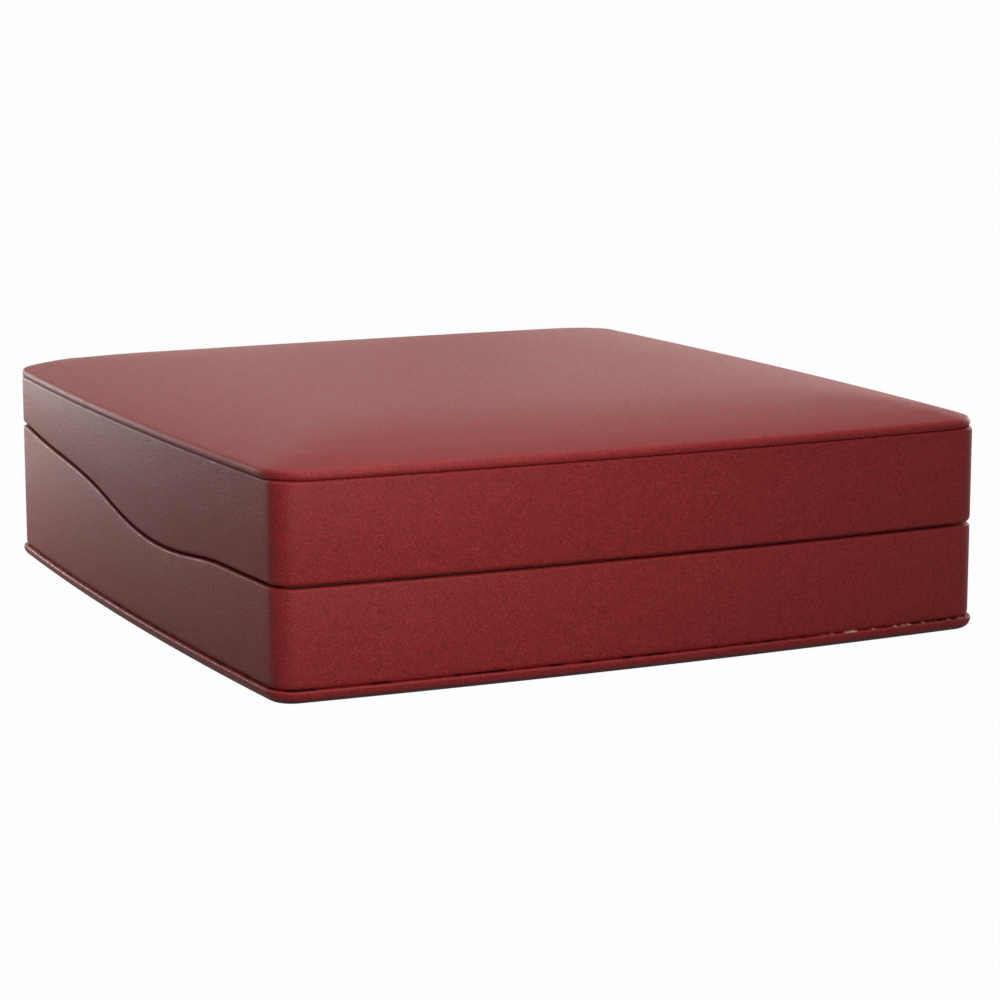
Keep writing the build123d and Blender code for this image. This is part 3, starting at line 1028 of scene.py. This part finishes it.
ribbon_thickness = 0.4 * mm
ribbon_width = 12 * mm
ribbon_bend = 0.6 * mm
ribbon_glued = 16 * mm
ribbon_upright = 5.2 * mm
ribbon_lean = 14 * mm


def start_strip(bm, place):
    """The first point of a line along a strip's edge."""
    return [bmesh.ops.create_vert(bm, co=place)["vert"][0]]


def draw_on(bm, line, move):
    """Carries the line straight on by a move."""
    grown = bmesh.ops.extrude_vert_indiv(bm, verts=[line[-1]])["verts"]
    bmesh.ops.translate(bm, verts=grown, vec=move)
    line.append(grown[0])


def bend_on(bm, line, middle, angle, steps):
    """Carries the line on round a bend."""
    before = len(bm.verts)
    bmesh.ops.spin(
        bm,
        geom=[line[-1]],
        cent=middle,
        axis=(1, 0, 0),
        angle=angle,
        steps=steps,
        use_merge=False,
    )
    bm.verts.ensure_lookup_table()
    line.extend(bm.verts[before:])


def widen_strip(bm, width):
    """Draws the line out sideways into a strip."""
    strip = bmesh.ops.extrude_edge_only(bm, edges=bm.edges[:])["geom"]
    far_edge = [g for g in strip if isinstance(g, bmesh.types.BMVert)]
    bmesh.ops.translate(bm, verts=far_edge, vec=(width, 0, 0))


bm = bmesh.new()
foot_end = (-ribbon_width / 2, pad_front + ribbon_glued, pad_bottom - ribbon_thickness)
ribbon_line = start_strip(bm, foot_end)
draw_on(bm, ribbon_line, (0, -ribbon_glued + ribbon_bend, 0))
corner = ribbon_line[-1].co + Vector((0, 0, ribbon_bend))
bend_on(bm, ribbon_line, corner, math.radians(-90), 4)
draw_on(bm, ribbon_line, (0, 0, ribbon_upright))
leaning_round = ribbon_line[-1].co + Vector((0, ribbon_lean, 0))
bend_on(bm, ribbon_line, leaning_round, math.radians(-20), 6)
widen_strip(bm, ribbon_width)
pull_tab = make_piece(bm, "lifting_ribbon", ribbon, "necklace_pad", 60)
give_thickness(pull_tab, ribbon_thickness)
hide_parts("pull_tab")

# Hinges
# Nickel-plated steel leaves with rolled knuckles on a pin, riveted to the walls from inside.
steel, steel_shader, steel_place = new_finish("nickel_plate", 0.3)
steel_shader.inputs["Metallic"].default_value = 1
steel_scratches = speckle(steel, stretched(steel, steel_place, (1, 12, 12)), 500, 3)
steel_cloud = speckle(steel, steel_place, 200)
steel_tone = tones(
    steel,
    sum_of(steel, (steel_scratches, 0.5), (steel_cloud, 0.5)),
    (0.3, (0.60, 0.58, 0.54)),
    (0.7, (0.76, 0.74, 0.70)),
)
dress(steel, steel_shader, steel_tone, levels(steel, steel_scratches, 0.24, 0.4))
relief(steel, steel_shader, steel_scratches, 0.01 * mm)
for side in ("left", "right"):
    for part in ("base_leaf", "lid_leaf", "pin"):
        paint(f"hinge_{side}_{part}", steel)
paint("base_rivets", steel)
paint("lid_rivets", steel)

# Lid frame and its leather
# The lid's frame is moulded like the tray: a top plate and four walls with wavy rims. The
# leatherette goes from under the padded panel, down the walls and in under the rim.
paint("lid_frame", moulded_plastic)
frame_top = 47 * mm
top_lip = 0.8 * mm
lid_lip = 1.5 * mm


def lid_rim(rise):
    """A level so far above the lid's wavy rim."""
    return lambda depth: parting(depth) + rim_gap / 2 + rise


bm = bmesh.new()
# The third numbers give the lid's top lip a painted highlight
skin(
    bm,
    [(lid_lip * (1 - math.sin(t)), lid_rim(lid_lip * (1 - math.cos(t)))) for t in turn_steps]
    + [
        (top_lip * (1 - math.cos(t)), wall_top - top_lip * (1 - math.sin(t)), math.sin(2 * t))
        for t in turn_steps
    ]
    + [
        (turn_over, wall_top),
        (turn_over, frame_top),
        (leather, frame_top),
        (leather, lid_rim(leather)),
        (wall_inset, lid_rim(leather)),
        (wall_inset, lid_rim(turn_in)),
        (inner_inset, lid_rim(turn_in)),
    ]
    + [
        (inner_inset - leather * (1 - math.cos(t)), lid_rim(leather * (1 - math.sin(t))))
        for t in turn_steps
    ],
)
lid_wrap = make_piece(bm, "lid_leather", burgundy, "lid")
cut_away(lid_wrap, hinge_room(-beyond, notch_reach, -beyond, inner_inset + side_bow))
cut_away(lid_wrap, hinge_room(-beyond, seat_reach, hinge_seat, inner_inset + side_bow))
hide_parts("lid_wrap")

# Padded panel on top
# Foam on a board, in the same leatherette. It is drawn tight over the foam and turned under the
# board, which makes a rolled edge all round, and the whole panel is glued on the lid.
top_overhang = 0.7 * mm
top_corner = 9.2 * mm
top_board = 1.1 * mm
top_crown = 5.3 * mm
top_foam_edge = 0.02 * mm
top_foam_rise = 0.4 * mm
paint("top_board", card)
bm = bmesh.new()
padded_form(
    bm,
    wall_top + leather + top_board,
    1,
    -top_overhang + leather + foam_drop,
    top_corner - leather,
    top_foam_edge,
    top_crown + top_foam_rise,
    None,
)
top_foam = make_piece(bm, "top_foam_sheet", foam, "lid", 60)
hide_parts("top_foam")

bm = bmesh.new()
free = padded_form(
    bm, wall_top, 1, -top_overhang, top_corner, top_board + 2 * leather, top_crown, turn_over
)
top_cover = make_piece(bm, "top_leather", burgundy, "lid", 60)
swell(top_cover, free, 0.3 * mm, top_foam)
give_thickness(top_cover, leather)
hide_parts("top_cover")

# Lining inside the lid
# A velvet-faced card strip on the inner walls, and a satin panel with thin foam, glued under
# the top plate.
paint("lid_lining", velvet)
paint("lid_pad_board", card)
satin, satin_shader, satin_place = new_finish("ivory_satin", 0.36, 0.5)
satin_shader.inputs["Sheen Weight"].default_value = 0.2
satin_weave = speckle(satin, stretched(satin, satin_place, (1, 9, 1)), 900, 2)
satin_cloud = speckle(satin, satin_place, 40, 2)
satin_tone = tones(
    satin,
    sum_of(satin, (satin_weave, 0.5), (satin_cloud, 0.5)),
    (0.32, (0.78, 0.71, 0.58)),
    (0.68, (0.86, 0.80, 0.68)),
)
dress(satin, satin_shader, satin_tone, levels(satin, satin_weave, 0.3, 0.45))
satin_relief = sum_of(satin, (satin_weave, 0.6), (satin_cloud, 0.4))
relief(satin, satin_shader, satin_relief, 0.08 * mm)

ceiling = 45 * mm
satin_thickness = 0.3 * mm
lid_pad_inset = 3.6 * mm
lid_pad_corner = 3 * mm
lid_board = 1.2 * mm
lid_foam_edge = 1.5 * mm
lid_crown = 1.8 * mm
bm = bmesh.new()
padded_form(
    bm,
    ceiling - satin_thickness - lid_board,
    -1,
    lid_pad_inset + satin_thickness + foam_clearance,
    lid_pad_corner - satin_thickness,
    lid_foam_edge - foam_drop,
    lid_crown,
    None,
)
lid_pad_foam = make_piece(bm, "lid_foam_sheet", foam, "lid", 60)
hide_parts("lid_pad_foam")

bm = bmesh.new()
free = padded_form(
    bm,
    ceiling,
    -1,
    lid_pad_inset,
    lid_pad_corner,
    lid_board + lid_foam_edge + 2 * satin_thickness,
    lid_crown,
    turn_over,
)
lid_pad_satin = make_piece(bm, "lid_satin", satin, "lid", 60)
swell(lid_pad_satin, free, 0.5 * mm, lid_pad_foam)
give_thickness(lid_pad_satin, satin_thickness)
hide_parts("lid_pad_satin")

# Hinge springs
# A bowed strip of spring steel lies on each hinge, riveted to both leaves, and snaps the lid
# open and shut.
strip_width = 6 * mm
strip_thickness = 0.3 * mm
strip_reach = 5.8 * mm
strip_tab = 1.2 * mm
strip_bow = 1.5 * mm
leaf_thickness = 0.6 * mm
strip_face = hinge_y - hinge_seat - leaf_thickness
strip_swing = (strip_reach**2 + strip_bow**2) / (2 * strip_bow)
for side, name in ((-1, "left"), (1, "right")):
    bm = bmesh.new()
    left = side * hinge_reach - strip_width / 2
    spring_line = start_strip(bm, (left, strip_face, back_parting - strip_reach - strip_tab))
    draw_on(bm, spring_line, (0, 0, strip_tab))
    bend_on(
        bm,
        spring_line,
        (left, strip_face - strip_bow + strip_swing, back_parting),
        -2 * math.asin(strip_reach / strip_swing),
        14,
    )
    draw_on(bm, spring_line, (0, 0, strip_tab))
    widen_strip(bm, strip_width)
    bmesh.ops.recalc_face_normals(bm, faces=bm.faces)
    bmesh.ops.solidify(bm, geom=bm.faces[:], thickness=strip_thickness)
    spring = make_piece(bm, f"hinge_{name}_strip", steel, "base")
    spring.parent = None
    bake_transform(spring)
    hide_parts(f"hinge_{name}_spring")
